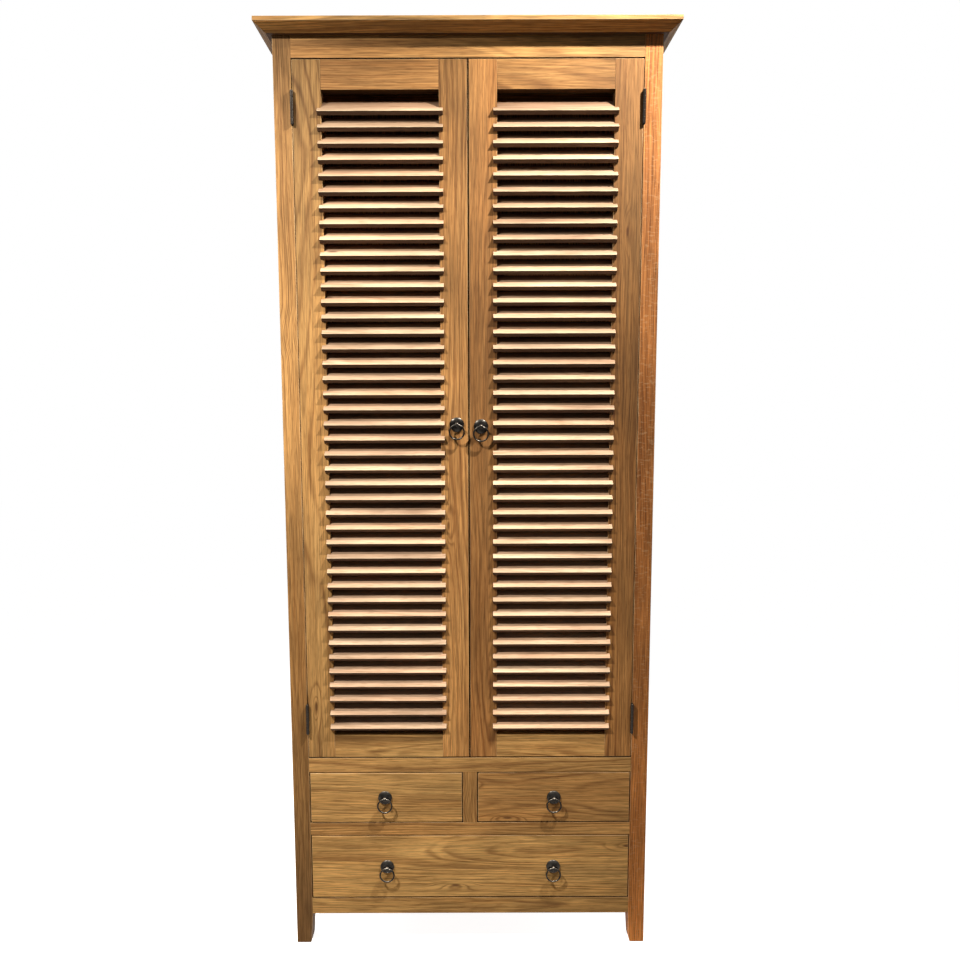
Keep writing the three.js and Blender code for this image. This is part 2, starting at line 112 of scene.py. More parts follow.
# %% Colour and node helpers
def paint(code):
    """The linear colour of an sRGB hex value such as '#c08a50'."""
    parts = [int(code[place:place + 2], 16) / 255 for place in (1, 3, 5)]
    linear = [part / 12.92 if part <= 0.04045 else ((part + 0.055) / 1.055) ** 2.4 for part in parts]
    return (*linear, 1)


def add(tree, kind, inputs=(), **settings):
    """Adds one node; inputs maps a socket to a value, or to a node or socket that is linked to it."""
    node = tree.nodes.new(kind)
    for key, value in settings.items():
        setattr(node, key, value)
    for key, value in dict(inputs).items():
        if isinstance(value, bpy.types.Node):
            value = value.outputs[0]
        if isinstance(value, bpy.types.NodeSocket):
            tree.links.new(value, node.inputs[key])
        else:
            node.inputs[key].default_value = value
    return node


def new_material(name):
    """A material with an empty node tree, and that tree."""
    material = bpy.data.materials.new(name)
    material.use_nodes = True
    material.node_tree.nodes.clear()
    return material, material.node_tree


print("brown umber in linear light:", [round(value, 3) for value in paint("#7a4a26")[:3]])

# %% [markdown]
# ## The finish: waxed teak
# Teak is a ring-porous wood. Every year's growth starts with a row of large dark pores, so a sawn face shows
# dark lines where it cuts the rings: straight where the board was far from the pith, and in long arches where
# it was near. Between them lie fine fibres, and broad streaks that run from yellow to a pinkish brown.
#
# The material draws that tree. Each board carries an attribute, `grain`, that says where each corner of the
# board lay in the trunk: X runs up the trunk, and Y and Z measure from the pith. The rings are the distance
# from the pith, bent by slow noise. A second attribute, `board`, holds the board's lightness, partly its own
# tone and partly painted light and shade, its tint, the wear of its arrises, and how much bright fleck its
# face shows. The rings are spaced in real millimetres.
# Fibres and pores are drawn several times as wide as they are, or they would be lost in the render.


# %% Teak material
MIX_A, MIX_B, MIX_RESULT = 6, 7, 2
NOISE = "ShaderNodeTexNoise"
MATH = "ShaderNodeMath"
RANGE = "ShaderNodeMapRange"
VECTOR = "ShaderNodeVectorMath"
MIX = "ShaderNodeMix"
SPLIT = "ShaderNodeSeparateColor"

# The patterns of the wood: patches to a metre along and across the grain, the noise's detail, and which
# stretch of its values becomes which
PATTERNS = {
    "bend": (1.5, 7.0, 1.5, 0.0, 1.0, 0.0, 1.0),
    "ripple": (9.0, 60.0, 2.0, 0.0, 1.0, 0.0, 1.0),
    "ring patch": (1.6, 26.0, 2.0, 0.32, 0.62, 0.2, 1.0),
    "broad streak": (1.6, 18.0, 2.0, 0.3, 0.7, 0.0, 1.0),
    "narrow streak": (4.5, 165.0, 2.0, 0.3, 0.7, 0.0, 1.0),
    "cloud": (4.0, 13.0, 2.0, 0.3, 0.7, 0.74, 1.26),
    "fibre": (16.0, 450.0, 2.0, 0.32, 0.68, 0.0, 1.0),
    "pore": (38.0, 440.0, 1.0, 0.57, 0.67, 0.0, 1.0),
    "worn patch": (22.0, 60.0, 2.0, 0.35, 0.62, 0.1, 0.6),
}
# The rings' spacing, and how far slow noise, fine noise and a knot push them aside
RING_SPACING = 6 * MM
SLOW_BEND, RIPPLE, SWIRL = 55 * MM, 3.5 * MM, 13 * MM
# Cells that may hold a knot, so many to a metre along and across the grain, and the share that hold none
KNOT_CELLS = (2.3, 9.0, 0.0)
CELLS_WITHOUT_KNOT = 0.7
KNOT_COLOUR = "#4a2814"
# What full redness, and what a pore, multiplies red, green and blue by
REDDEN = (1.15, 0.76, 0.6)
DARKEN_PORE = (0.6, 0.52, 0.45)
PORE_STRENGTH = 0.48


def teak(name, yellow, brown, pore, worn, ring_strength=0.65, fibre_strength=0.55, roughness=0.58):
    """Teak: its streaks run from yellow to brown, pore is the colour of its rings, worn of its arrises."""
    material, tree = new_material(name)
    place = add(tree, "ShaderNodeAttribute", attribute_name="grain").outputs["Vector"]
    board = add(tree, "ShaderNodeAttribute", attribute_name="board").outputs
    board_parts = add(tree, SPLIT, {0: board["Color"]}).outputs
    lightness, tint, wear, figure = board_parts[0], board_parts[1], board_parts[2], board["Alpha"]
    pattern = {}
    for title, (along, across, detail, low, high, out_low, out_high) in PATTERNS.items():
        scaled = add(tree, VECTOR, {0: place, 1: (along, across, across)}, operation="MULTIPLY")
        noise = add(tree, NOISE, {"Vector": scaled, "Scale": 1.0, "Detail": detail})
        pattern[title] = add(tree, RANGE, {"Value": noise, "From Min": low, "From Max": high,
                                           "To Min": out_low, "To Max": out_high})

    # Knots: a few cells of a stretched cell pattern hold one, and the rings flow round it
    knot_place = add(tree, VECTOR, {0: place, 1: KNOT_CELLS}, operation="MULTIPLY")
    cells = add(tree, "ShaderNodeTexVoronoi", {"Vector": knot_place, "Scale": 1.0}, voronoi_dimensions="2D")
    chance = add(tree, SPLIT, {0: cells.outputs["Color"]})
    holds_knot = add(tree, MATH, {0: chance, 1: CELLS_WITHOUT_KNOT}, operation="GREATER_THAN")
    around = add(tree, RANGE, {"Value": cells, "From Max": 0.16, "To Min": 1.0, "To Max": 0.0},
                 interpolation_type="SMOOTHSTEP")
    near_knot = add(tree, MATH, {0: around, 1: holds_knot}, operation="MULTIPLY")
    inside = add(tree, RANGE, {"Value": cells, "From Min": 0.012, "From Max": 0.034, "To Min": 1.0,
                               "To Max": 0.0}, interpolation_type="SMOOTHSTEP")
    knot = add(tree, MATH, {0: inside, 1: holds_knot}, operation="MULTIPLY")

    # Growth rings: the distance from the pith, bent by slow noise and by the knots
    sideways = add(tree, VECTOR, {0: place, 1: (0.0, 1.0, 1.0)}, operation="MULTIPLY")
    radius = add(tree, VECTOR, {0: sideways}, operation="LENGTH").outputs["Value"]
    bent = add(tree, MATH, {0: pattern["bend"], 1: SLOW_BEND, 2: radius}, operation="MULTIPLY_ADD")
    rippled = add(tree, MATH, {0: pattern["ripple"], 1: RIPPLE, 2: bent}, operation="MULTIPLY_ADD")
    swirled = add(tree, MATH, {0: near_knot, 1: SWIRL, 2: rippled}, operation="MULTIPLY_ADD")
    years = add(tree, MATH, {0: swirled, 1: 1 / RING_SPACING}, operation="MULTIPLY")
    spread = add(tree, NOISE, {"W": years, "Scale": 0.45, "Detail": 1.0}, noise_dimensions="1D")
    uneven_years = add(tree, MATH, {0: spread, 1: 2.2, 2: years}, operation="MULTIPLY_ADD")
    season = add(tree, MATH, {0: uneven_years}, operation="FRACT")
    early = add(tree, RANGE, {"Value": season, "From Max": 0.3, "To Min": 1.0, "To Max": 0.0},
                interpolation_type="SMOOTHSTEP")
    late = add(tree, RANGE, {"Value": season, "From Min": 0.6}, interpolation_type="SMOOTHSTEP")
    ring = add(tree, MATH, {0: early, 1: late}, operation="MAXIMUM")
    rings = add(tree, MATH, {0: ring, 1: pattern["ring patch"]}, operation="MULTIPLY")

    # Streaks, and the short bright flecks of a quarter-sawn face
    broad = add(tree, MATH, {0: pattern["broad streak"], 1: 0.48}, operation="MULTIPLY")
    streak = add(tree, MATH, {0: pattern["narrow streak"], 1: 0.42, 2: broad}, operation="MULTIPLY_ADD")
    slant = add(tree, VECTOR, {0: place, 1: (0.0, 0.0, 0.6)}, operation="CROSS_PRODUCT")
    slanted = add(tree, VECTOR, {0: place, 1: slant}, operation="ADD")
    fleck_place = add(tree, VECTOR, {0: slanted, 1: (260.0, 90.0, 90.0)}, operation="MULTIPLY")
    flecks = add(tree, NOISE, {"Vector": fleck_place, "Scale": 1.0})
    bright = add(tree, RANGE, {"Value": flecks, "From Min": 0.55, "From Max": 0.68})
    fleck = add(tree, MATH, {0: bright, 1: figure}, operation="MULTIPLY")

    # The wood's colour, and the board's lightness, which carries its painted light and shade
    wood = add(tree, MIX, {0: streak, MIX_A: paint(yellow), MIX_B: paint(brown)}, data_type="RGBA")
    ring_share = add(tree, MATH, {0: rings, 1: ring_strength}, operation="MULTIPLY")
    ringed = add(tree, MIX, {0: ring_share, MIX_A: wood.outputs[MIX_RESULT], MIX_B: paint(pore)},
                 data_type="RGBA")
    fibre_tone = add(tree, RANGE, {"Value": pattern["fibre"], "To Min": 1 - fibre_strength * 0.6,
                                   "To Max": 1 + fibre_strength * 0.5})
    board_tone = add(tree, RANGE, {"Value": lightness, "From Min": -0.08, "To Min": 0.004, "To Max": 1.3})
    clouded = add(tree, MATH, {0: board_tone, 1: pattern["cloud"]}, operation="MULTIPLY")
    tone = add(tree, MATH, {0: fibre_tone, 1: clouded}, operation="MULTIPLY")
    colour = add(tree, VECTOR, {0: ringed.outputs[MIX_RESULT], "Scale": tone}, operation="SCALE").outputs[0]

    # Redness and pores tint what lies below them, then flecks, knots and worn arrises are laid over it
    for share, strength, factor in ((tint, 1.0, REDDEN), (pattern["pore"], PORE_STRENGTH, DARKEN_PORE)):
        part = add(tree, MATH, {0: share, 1: strength}, operation="MULTIPLY")
        tinted = add(tree, VECTOR, {0: colour, 1: factor}, operation="MULTIPLY")
        colour = add(tree, MIX, {0: part, MIX_A: colour, MIX_B: tinted}, data_type="RGBA").outputs[MIX_RESULT]
    for share, strength, over in ((fleck, 0.16, worn), (knot, 0.75, KNOT_COLOUR),
                                  (wear, pattern["worn patch"], worn)):
        part = add(tree, MATH, {0: share, 1: strength}, operation="MULTIPLY")
        colour = add(tree, MIX, {0: part, MIX_A: colour, MIX_B: paint(over)},
                     data_type="RGBA").outputs[MIX_RESULT]

    # Gloss and relief: wax lies on the summer wood and sinks into the pores
    gloss = add(tree, RANGE, {"Value": pattern["fibre"], "To Min": roughness + 0.14,
                              "To Max": roughness - 0.06})
    grooved = add(tree, MATH, {0: rings, 1: -0.5, 2: pattern["fibre"]}, operation="MULTIPLY_ADD")
    relief = add(tree, MATH, {0: pattern["pore"], 1: -0.9, 2: grooved}, operation="MULTIPLY_ADD")
    bump = add(tree, "ShaderNodeBump", {"Height": relief, "Strength": 0.5, "Distance": 0.12 * MM})
    surface = add(tree, "ShaderNodeBsdfPrincipled", {
        "Base Color": colour, "Roughness": gloss, "IOR": 1.5, "Specular IOR Level": 0.2, "Normal": bump})
    add(tree, "ShaderNodeOutputMaterial", {"Surface": surface})
    return material


finishes = {
    "teak": teak("teak_planed_and_waxed", "#e2b673", "#b8884d", "#784d27", "#ecc896"),
    "slat_teak": teak("pale_teak_planed_and_waxed", "#f3d6b2", "#e8c4a0", "#a8764a", "#f8e2bc",
                      ring_strength=0.35, fibre_strength=0.25),
    "inner_teak": teak("teak_planed_unwaxed", "#b98a56", "#946a3e", "#5a3a1e", "#c79a66", roughness=0.68),
}
print("finishes of wood:", [material.name for material in finishes.values()])

# %% [markdown]
# ## The finish: antique bronze
# The pulls are cast and the hinges rolled from sheet. Both are blackened in a bath and rubbed back, which
# leaves a dark brown skin. Over it lies a painted reflection of a bright ceiling on all that faces up: the
# top of the rosette, the eye, and the inside of the ring's foot. An attribute says how far a face looks up,
# and so how much of that painted reflection it gets.


# %% Bronze material
def bronze(name, dark, rubbed, roughness):
    """Blackened bronze with a painted reflection that is bright on what faces up, and slow noise in the skin.
    """
    material, tree = new_material(name)
    place = add(tree, "ShaderNodeTexCoord").outputs["Object"]
    upward = add(tree, "ShaderNodeAttribute", attribute_name="rubbed").outputs["Fac"]
    cloud = add(tree, NOISE, {"Vector": place, "Scale": 1 / (7 * MM), "Detail": 3.0})
    pits = add(tree, NOISE, {"Vector": place, "Scale": 1 / (0.7 * MM), "Detail": 2.0})
    uneven = add(tree, RANGE, {"Value": cloud, "From Min": 0.35, "From Max": 0.7, "To Max": 0.04})
    painted_sheen_share = add(tree, MATH, {0: upward, 1: 0.85, 2: uneven}, operation="MULTIPLY_ADD")
    # The skin's colour, with the painted reflection mixed in where it faces up
    skin = add(tree, MIX, {0: painted_sheen_share, MIX_A: paint(dark), MIX_B: paint(rubbed)}, data_type="RGBA")
    gloss = add(tree, RANGE, {"Value": cloud, "To Min": roughness + 0.06, "To Max": roughness - 0.06})
    bump = add(tree, "ShaderNodeBump", {"Height": pits, "Strength": 0.2, "Distance": 0.04 * MM})
    surface = add(tree, "ShaderNodeBsdfPrincipled", {
        "Base Color": skin.outputs[MIX_RESULT], "Metallic": 1.0, "Roughness": gloss, "Normal": bump})
    add(tree, "ShaderNodeOutputMaterial", {"Surface": surface})
    return material


def paint_sheen(piece):
    """Writes how far each point faces up, 0 for level or down to 1 for straight up: the painted reflection's
    share.
    """
    rises = [max(0, vertex.normal.z) ** 3 for vertex in piece.data.vertices]
    piece.data.attributes.new("rubbed", "FLOAT", "POINT").data.foreach_set("value", rises)


finishes["bronze"] = bronze("bronze_cast_and_blackened", "#1a1715", "#b5ada0", 0.3)
finishes["hinge_bronze"] = bronze("bronze_rolled_and_blackened", "#2e2925", "#7d756b", 0.36)
print("finishes of metal:", finishes["bronze"].name, "and", finishes["hinge_bronze"].name)

# %% [markdown]
# ## Laying the grain
# A board's grain runs along its length. The helper below writes the two attributes on the corners of the
# faces, so that two staves glued edge to edge can differ at a crisp line. Wide panels are glued up from
# staves, because no tree gives a board that wide. Each stave gets its own place in the trunk. A board's tone
# may fade from one end to the other, and may bow, which makes it lighter or darker at mid-length; these
# fades and bows are partly the board's own tone and partly painted light, which follows how the spots light
# it.


# %% Grain helpers
X, Y, Z = 0, 1, 2
# Where a stave may come from, in metres: up the trunk, sideways and in depth from the pith, and the most
# that its own length may run off the trunk's, in metres to the metre
UP_TRUNK = (0, 40)
FROM_PITH = (-0.07, 0.07)
DEPTH = (0.03, 0.15)
RUN_OUT = (-0.012, 0.012)
# A face is part of a worn arris where it looks along no axis and is small, in square metres
SQUARE_FACE = 0.995
ARRIS_AREA = 1.5e-3


def read_all(items, field, width=1, kind=float):
    """One property of every vertex, corner or face, as an array with one row for each."""
    values = np.zeros(len(items) * width, kind)
    items.foreach_get(field, values)
    return values.reshape(-1, width) if width > 1 else values


def lay_grain(piece, along, seed, stave=0.0, light=(0.6, 0.8), tint=(0.12, 0.4), fade=0.0, bow=0.0,
              figure=0.0):
    """Writes where each face corner lay in the trunk, and the tone and figure of its stave."""
    mesh = piece.data
    draw = np.random.default_rng(seed)
    corners = len(mesh.loops)
    spots = read_all(mesh.vertices, "co", 3)
    vertex_of = read_all(mesh.loops, "vertex_index", kind=int)
    centres = read_all(mesh.polygons, "center", 3)
    normals = read_all(mesh.polygons, "normal", 3)
    areas = read_all(mesh.polygons, "area")
    face_of = np.repeat(np.arange(len(areas)), read_all(mesh.polygons, "loop_total", kind=int))
    middle = (spots.max(0) + spots.min(0)) / 2
    extent = spots.max(0) - spots.min(0)
    others = [axis for axis in (X, Y, Z) if axis != along]
    across, through = sorted(others, key=lambda axis: -extent[axis])

    # Each stave's place in the trunk and its run-out, then its lightness and redness
    count = max(1, round(extent[across] / stave)) if stave else 1
    from_edge = (centres[:, across] - (middle - extent / 2)[across]) / extent[across]
    index = np.clip((from_edge * count).astype(int), 0, count - 1)[face_of]
    ups = draw.uniform(*UP_TRUNK, count)
    sides = draw.uniform(*FROM_PITH, count)
    depths = draw.uniform(*DEPTH, count)
    slopes = draw.uniform(*RUN_OUT, count)
    lights = draw.uniform(*light, count)
    tints = draw.uniform(*tint, count)

    local = (spots - middle)[vertex_of]
    run, reach, deep = local[:, along], local[:, across], local[:, through]
    grain = np.stack([run + ups[index], reach + run * slopes[index] + sides[index], deep + depths[index]], 1)
    on_arris = (np.abs(normals).max(1) < SQUARE_FACE) & (areas < ARRIS_AREA)
    from_middle = run / extent[along]
    # The fade and bow are partly painted light, set to follow how the spots light the front
    shade = lights[index] + fade * from_middle + bow * (1 - 4 * from_middle ** 2)
    wear = on_arris.astype(float)[face_of]
    tone = np.stack([shade, tints[index], wear, np.full(corners, figure)], 1)
    for name, kind, values, field in (("grain", "FLOAT_VECTOR", grain, "vector"),
                                      ("board", "FLOAT_COLOR", tone, "color")):
        if name in mesh.attributes:
            mesh.attributes.remove(mesh.attributes[name])
        mesh.attributes.new(name, kind, "CORNER").data.foreach_set(field, values.astype(np.float32).ravel())


# %% Edit helpers
def pick_only(piece):
    """Selects one object and nothing else, in object mode."""
    if bpy.context.object and bpy.context.object.mode != "OBJECT":
        bpy.ops.object.mode_set(mode="OBJECT")
    bpy.ops.object.select_all(action="DESELECT")
    piece.select_set(True)
    bpy.context.view_layer.objects.active = piece


def select_edges(mesh, wanted):
    """In edit mode, selects the edges for which wanted(edge) is true."""
    bpy.context.tool_settings.mesh_select_mode = (False, True, False)
    bpy.ops.mesh.select_all(action="DESELECT")
    shape = bmesh.from_edit_mesh(mesh)
    shape.normal_update()
    for edge in [edge for edge in shape.edges if wanted(edge)]:
        edge.select_set(True)
    bmesh.update_edit_mesh(mesh)


def smooth(piece, angle=35):
    """Smooth shading that keeps the flat faces flat: sharp corners stay sharp, big faces set the normals."""
    pick_only(piece)
    bpy.ops.object.shade_smooth_by_angle(angle=math.radians(angle))
    weighted = piece.modifiers.new("flat faces", "WEIGHTED_NORMAL")
    weighted.keep_sharp = True
    bpy.ops.object.modifier_apply(modifier=weighted.name)


def dress(piece, node):
    """Gives a finished piece its material and its body, and hides the CAD node that it stands for."""
    piece.data.materials.clear()
    piece.data.materials.append(finishes[slot_of[node]])
    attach(piece, body_of[node])
    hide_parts(node)


# %% [markdown]
# ## Posts, rails, stiles, panels and boards
# The CAD boards have the right joints and sizes, but a real board never has a knife edge: a plane or a bit of
# sandpaper takes each arris down by about a millimetre, and those narrow rounds catch the light all round the
# doors and drawers. Each board is copied, its triangles are merged back to whole faces, the arrises that show
# are bevelled, and wide panels are cut at their glue lines. A board whose tone bows is cut into short
# lengths, because an attribute runs straight from one corner of a face to the next.


# %% The tone of each board
# Lightness, the lightness gained from its foot or left end to its head or right end, redness, and for some
# the lightness gained at mid-length. They hold each board's own tone, for no two boards of the cabinet are
# alike, and painted light and shade: the lightness, fades and bows also follow how the two spots light the
# front
TONES = {
    "front_left_post": (0.28, 0.22, 0.32, 0.23),
    "front_right_post": (0.86, -0.29, 1.0, -0.52),
    "left_door_hinge_stile": (0.48, -0.41, 0.2, 0.1),
    "left_door_meeting_stile": (0.53, -0.52, 0.44, -0.06),
    "right_door_meeting_stile": (0.57, -0.23, 0.56, -0.34),
    "right_door_hinge_stile": (0.46, -0.39, 0.55, -0.25),
    "left_door_top_rail": (0.43, 0.0, 0.45),
    "right_door_top_rail": (0.4, 0.0, 0.36),
    "left_door_bottom_rail": (0.73, 0.0, 0.07),
    "right_door_bottom_rail": (0.97, 0.0, 0.07),
    "cornice_front": (0.8, -0.32, 0.1),
    "cornice_left": (0.42, 0.0, 0.14),
    "cornice_right": (0.42, 0.0, 0.14),
    "top_front_rail": (0.66, -0.55, 0.22),
    "waist_front_rail": (0.7, 0.0, 0.15),
    "drawer_front_rail": (0.74, 0.0, 0.2),
    "bottom_front_rail": (0.71, 0.0, 0.03),
    "drawer_divider": (0.7, 0.0, 0.2),
    "left_drawer_front": (0.84, 0.0, 0.07),
    "right_drawer_front": (0.66, 0.0, 0.27),
    "large_drawer_front": (1.0, 0.0, 0.0),
}
# Painted shade: these sides are painted dark, the undersides, the ledges under doors and drawers, and where
# the two doors meet, for the shadow in those gaps
UP, DOWN, RIGHT, LEFT = (0, 0, 1), (0, 0, -1), (1, 0, 0), (-1, 0, 0)
SHADED_SIDES = {
    "cornice_front": DOWN,
    "cornice_left": DOWN,
    "cornice_right": DOWN,
    "top_front_rail": DOWN,
    "waist_front_rail": UP,
    "drawer_front_rail": UP,
    "bottom_front_rail": UP,
    "left_door_top_rail": DOWN,
    "right_door_top_rail": DOWN,
    "left_door_meeting_stile": RIGHT,
    "right_door_meeting_stile": LEFT,
}
# The painted shade's lightness, redness, wear and figure
GAP_PAINTED_SHADE = (0.02, 0.6, 0, 0)
print("boards with a tone of their own:", len(TONES))


# %% Edges that get an arris
SHARP = math.radians(20)
TOE_TOP = 73 * MM
TOE_EDGE = 50 * MM
CORNICE_EDGE = 350 * MM


def on_corner_line(low, high):
    """A test for edges that run along one of the twelve corner lines of a board's box."""
    slack = 0.02 * MM

    def test(edge):
        if edge.calc_face_angle(0) < SHARP or not edge.is_convex:
            return False
        first, second = (vertex.co for vertex in edge.verts)
        held = 0
        for axis in (X, Y, Z):
            for limit in (low, high):
                held += abs(first[axis] - limit[axis]) < slack and abs(second[axis] - limit[axis]) < slack
        return held >= 2
    return test


def toe_edge(edge):
    """The arrises of a foot's taper, which leave the post's corner lines."""
    heights = [vertex.co.z for vertex in edge.verts]
    return max(heights) - min(heights) > TOE_EDGE and max(heights) < TOE_TOP and edge.is_convex


def long_edge(edge):
    """The arrises of the cornice, which run its whole length."""
    return edge.calc_length() > CORNICE_EDGE and edge.is_convex and edge.calc_face_angle(0) > SHARP


# %% Plane one board
BOWED_LENGTHS = 9


def paint_shade(piece, side):
    """Paints shade on the faces that look to one side: a dark tone that stands for the shadow in the gaps."""
    tones = piece.data.attributes["board"].data
    for face in piece.data.polygons:
        if face.normal.dot(Vector(side)) > 0.9:
            for corner in face.loop_indices:
                tones[corner].color = GAP_PAINTED_SHADE


def cut_across(low, high, axis, count):
    """In edit mode, cuts a board's faces at count - 1 even places along one axis."""
    normal = [float(other == axis) for other in (X, Y, Z)]
    for cut in range(1, count):
        place = Vector(low)
        place[axis] = low[axis] + (high[axis] - low[axis]) * cut / count
        bpy.ops.mesh.select_all(action="SELECT")
        bpy.ops.mesh.bisect(plane_co=place, plane_no=normal)


def plane_board(node, along, seed, arris=1.0, stave=0, also=None, figure=0.0):
    """A board with rounded arrises and its own grain, in place of the CAD node."""
    tones = {"figure": figure}
    if node in TONES:
        lightness, fade, redness, *bow = TONES[node]
        tones.update(light=(lightness, lightness), tint=(redness, redness), fade=fade, bow=sum(bow))
    mesh = frame["nodes"][node].data.copy()
    piece = bpy.data.objects.new(node + "_planed", mesh)
    bpy.context.scene.collection.objects.link(piece)
    pick_only(piece)
    low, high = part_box(node)
    bpy.ops.object.mode_set(mode="EDIT")
    bpy.ops.mesh.select_all(action="SELECT")
    bpy.ops.mesh.remove_doubles(threshold=0.01 * MM)
    bpy.ops.mesh.dissolve_limited(angle_limit=math.radians(0.5))
    if stave:
        extent = high - low
        across = max((axis for axis in (X, Y, Z) if axis != along), key=lambda axis: extent[axis])
        cut_across(low, high, across, round(extent[across] / (stave * MM)))
    if tones.get("bow"):
        cut_across(low, high, along, BOWED_LENGTHS)
    corner = on_corner_line(low, high)
    select_edges(mesh, lambda edge: corner(edge) or (also is not None and also(edge)))
    bpy.ops.mesh.bevel(offset=arris * MM, segments=3, affect="EDGES", clamp_overlap=True)
    bpy.ops.object.mode_set(mode="OBJECT")
    lay_grain(piece, along, seed, stave * MM, **tones)
    # Painted shade on the sides that face into the gaps and under the ledges
    if node in SHADED_SIDES:
        paint_shade(piece, SHADED_SIDES[node])
    smooth(piece)
    dress(piece, node)


# %% Plane all the boards
for number, node in enumerate(("front_left_post", "front_right_post", "back_left_post", "back_right_post")):
    plane_board(node, Z, 10 + number, also=toe_edge, figure=float(node == "front_right_post"))
for number, side in enumerate(("left", "right")):
    plane_board(side + "_side_panel", Z, 20 + number, stave=90)
    plane_board("cornice_" + side, Y, 30 + number, also=long_edge)
    plane_board(side + "_door_hinge_stile", Z, 40 + number, arris=0.7)
    plane_board(side + "_door_meeting_stile", Z, 50 + number, arris=0.5)
    plane_board(side + "_door_top_rail", X, 60 + number, arris=0.5)
    plane_board(side + "_door_bottom_rail", X, 70 + number, arris=0.5)
plane_board("cornice_front", X, 80, also=long_edge)
plane_board("top_board", X, 81, stave=110)
plane_board("back_panel", Z, 82, stave=105)
for number, node in enumerate(("top_front_rail", "waist_front_rail", "drawer_front_rail",
                               "bottom_front_rail")):
    plane_board(node, X, 90 + number, arris=0.6)
plane_board("drawer_divider", Z, 100, arris=0.6)
for number, node in enumerate(("bottom_board", "dust_board", "cupboard_floor", "lower_shelf",
                               "upper_shelf")):
    plane_board(node, X, 110 + number, stave=105)
for number, name in enumerate(("left_drawer", "right_drawer", "large_drawer")):
    plane_board(name + "_front", X, 120 + number, arris=1.1)
    plane_board(name + "_box", Y, 130 + number, arris=0.8)
    plane_board(name + "_bottom", X, 140 + number, arris=0.4, stave=125)

# %% [markdown]
# ## Louvre slats
# A slat is a thin lath, planed on both faces with its long edges rounded over. It stands at 45 degrees in
# slots of the stiles, nose down, and its ends stand out in front of the stiles as small horns. One lath is
# modelled lying flat and copied, each copy with its own grain and its own tone, then tilted into its slot.
# No two slots are cut quite alike, so each slat also sits a few tenths of a millimetre off. Each slat's upper
# face is painted darker towards the rear, and its nose and ends dark, as painted shade where the slat above
# shadows it, and the slats are painted paler from top to bottom, as painted light that follows the lamps.
# The faces that look into the cabinet keep most of their colour.

# %% Slat sizes and tones
SLATS = 42
SLAT_TILT = math.radians(45)
SLAT_THICKNESS = 10 * MM
SLAT_WIDTH = 36.5 * MM
SLAT_ARRIS = 0.9 * MM
NOSE_REACH = 8 * MM
FIRST_DROP = 44 * MM
LAST_RISE = 17 * MM
BEAD_WIDTH = 8 * MM
BEAD_DEPTH = 7 * MM
BEAD_ARRIS = 0.6 * MM
FRAME_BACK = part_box("left_door_top_rail")[1].y
UNEVEN_TILT = math.radians(0.5)
UNEVEN_ACROSS = 0.25 * MM
UNEVEN_REACH = 0.15 * MM
# For each door the darkest tone that its top slat may have, and how much paler the lowest slat is, as
# painted light that evens out the lamps' fall-off towards the bottom
DOOR_TONES = {"left": (0.29, 0.17), "right": (0.23, 0.43)}
SLAT_SPREAD = 0.17
SLAT_REDNESS = (0.0, 0.3)
# Painted shade on each slat: nose and rear tones, their redness, the unshaded front share, the back's share
NOSE_PAINTED_SHADE = 0.04
SLAT_PAINTED_SHADE = -0.03
PAINTED_SHADE_REDNESS = 0.7
UNSHADED_FRONT_SHARE = 0.15
BACK_FACES_UNSHADED_SHARE = 0.85
print("slats in both doors:", 2 * SLATS)


# %% Make one lath
SQUARE_CORNER = math.radians(60)


def block(name, low, high):
    """A box between two corners."""
    bpy.ops.object.select_all(action="DESELECT")
    low, high = Vector(low), Vector(high)
    bpy.ops.mesh.primitive_cube_add(size=1, location=(low + high) / 2, scale=high - low)
    piece = bpy.context.object
    piece.name = name
    bpy.ops.object.transform_apply(location=True, rotation=True, scale=True)
    return piece


def lath(name, size, arris):
    """A rectangular stick with rounded long edges, its upper front edge on the X axis."""
    length, width, thickness = size
    piece = block(name, (-length / 2, 0, -thickness), (length / 2, width, 0))
    bpy.ops.object.mode_set(mode="EDIT")
    select_edges(piece.data, lambda edge: abs(edge.verts[0].co.x - edge.verts[1].co.x) > length / 2)
    bpy.ops.mesh.bevel(offset=arris, segments=3, affect="EDGES")
    select_edges(piece.data, lambda edge: edge.calc_face_angle(0) > SQUARE_CORNER)
    bpy.ops.mesh.bevel(offset=arris / 2, segments=2, affect="EDGES")
    bpy.ops.object.mode_set(mode="OBJECT")
    return piece


def paint_shade_behind(slat):
    """Paints shade on a flat lath: its upper face darkens towards the rear, and its nose and ends go dark."""
    mesh = slat.data
    tones = mesh.attributes["board"].data
    for face in mesh.polygons:
        nose = face.normal.y < -0.3
        painted_shade = NOSE_PAINTED_SHADE if nose else SLAT_PAINTED_SHADE
        at_back = not nose and abs(face.normal.x) < 0.5
        for corner in face.loop_indices:
            spot = mesh.vertices[mesh.loops[corner].vertex_index].co
            if face.normal.z > 0.3:
                shown = min(1, max(0, 1 + UNSHADED_FRONT_SHARE - spot.y / SLAT_WIDTH))
            else:
                shown = BACK_FACES_UNSHADED_SHARE if at_back else 0
            lightness, redness, wear, figure = tones[corner].color
            tones[corner].color = (lightness * shown + painted_shade * (1 - shown),
                                   max(redness, PAINTED_SHADE_REDNESS * (1 - shown)), wear * shown, figure)


# %% Fill both doors
def joined(name, parts):
    """Joins parts into one object, whose origin stays at the world's origin."""
    bpy.ops.object.select_all(action="DESELECT")
    for part in parts:
        part.select_set(True)
    bpy.context.view_layer.objects.active = parts[0]
    bpy.ops.object.join()
    parts[0].name = name
    return parts[0]


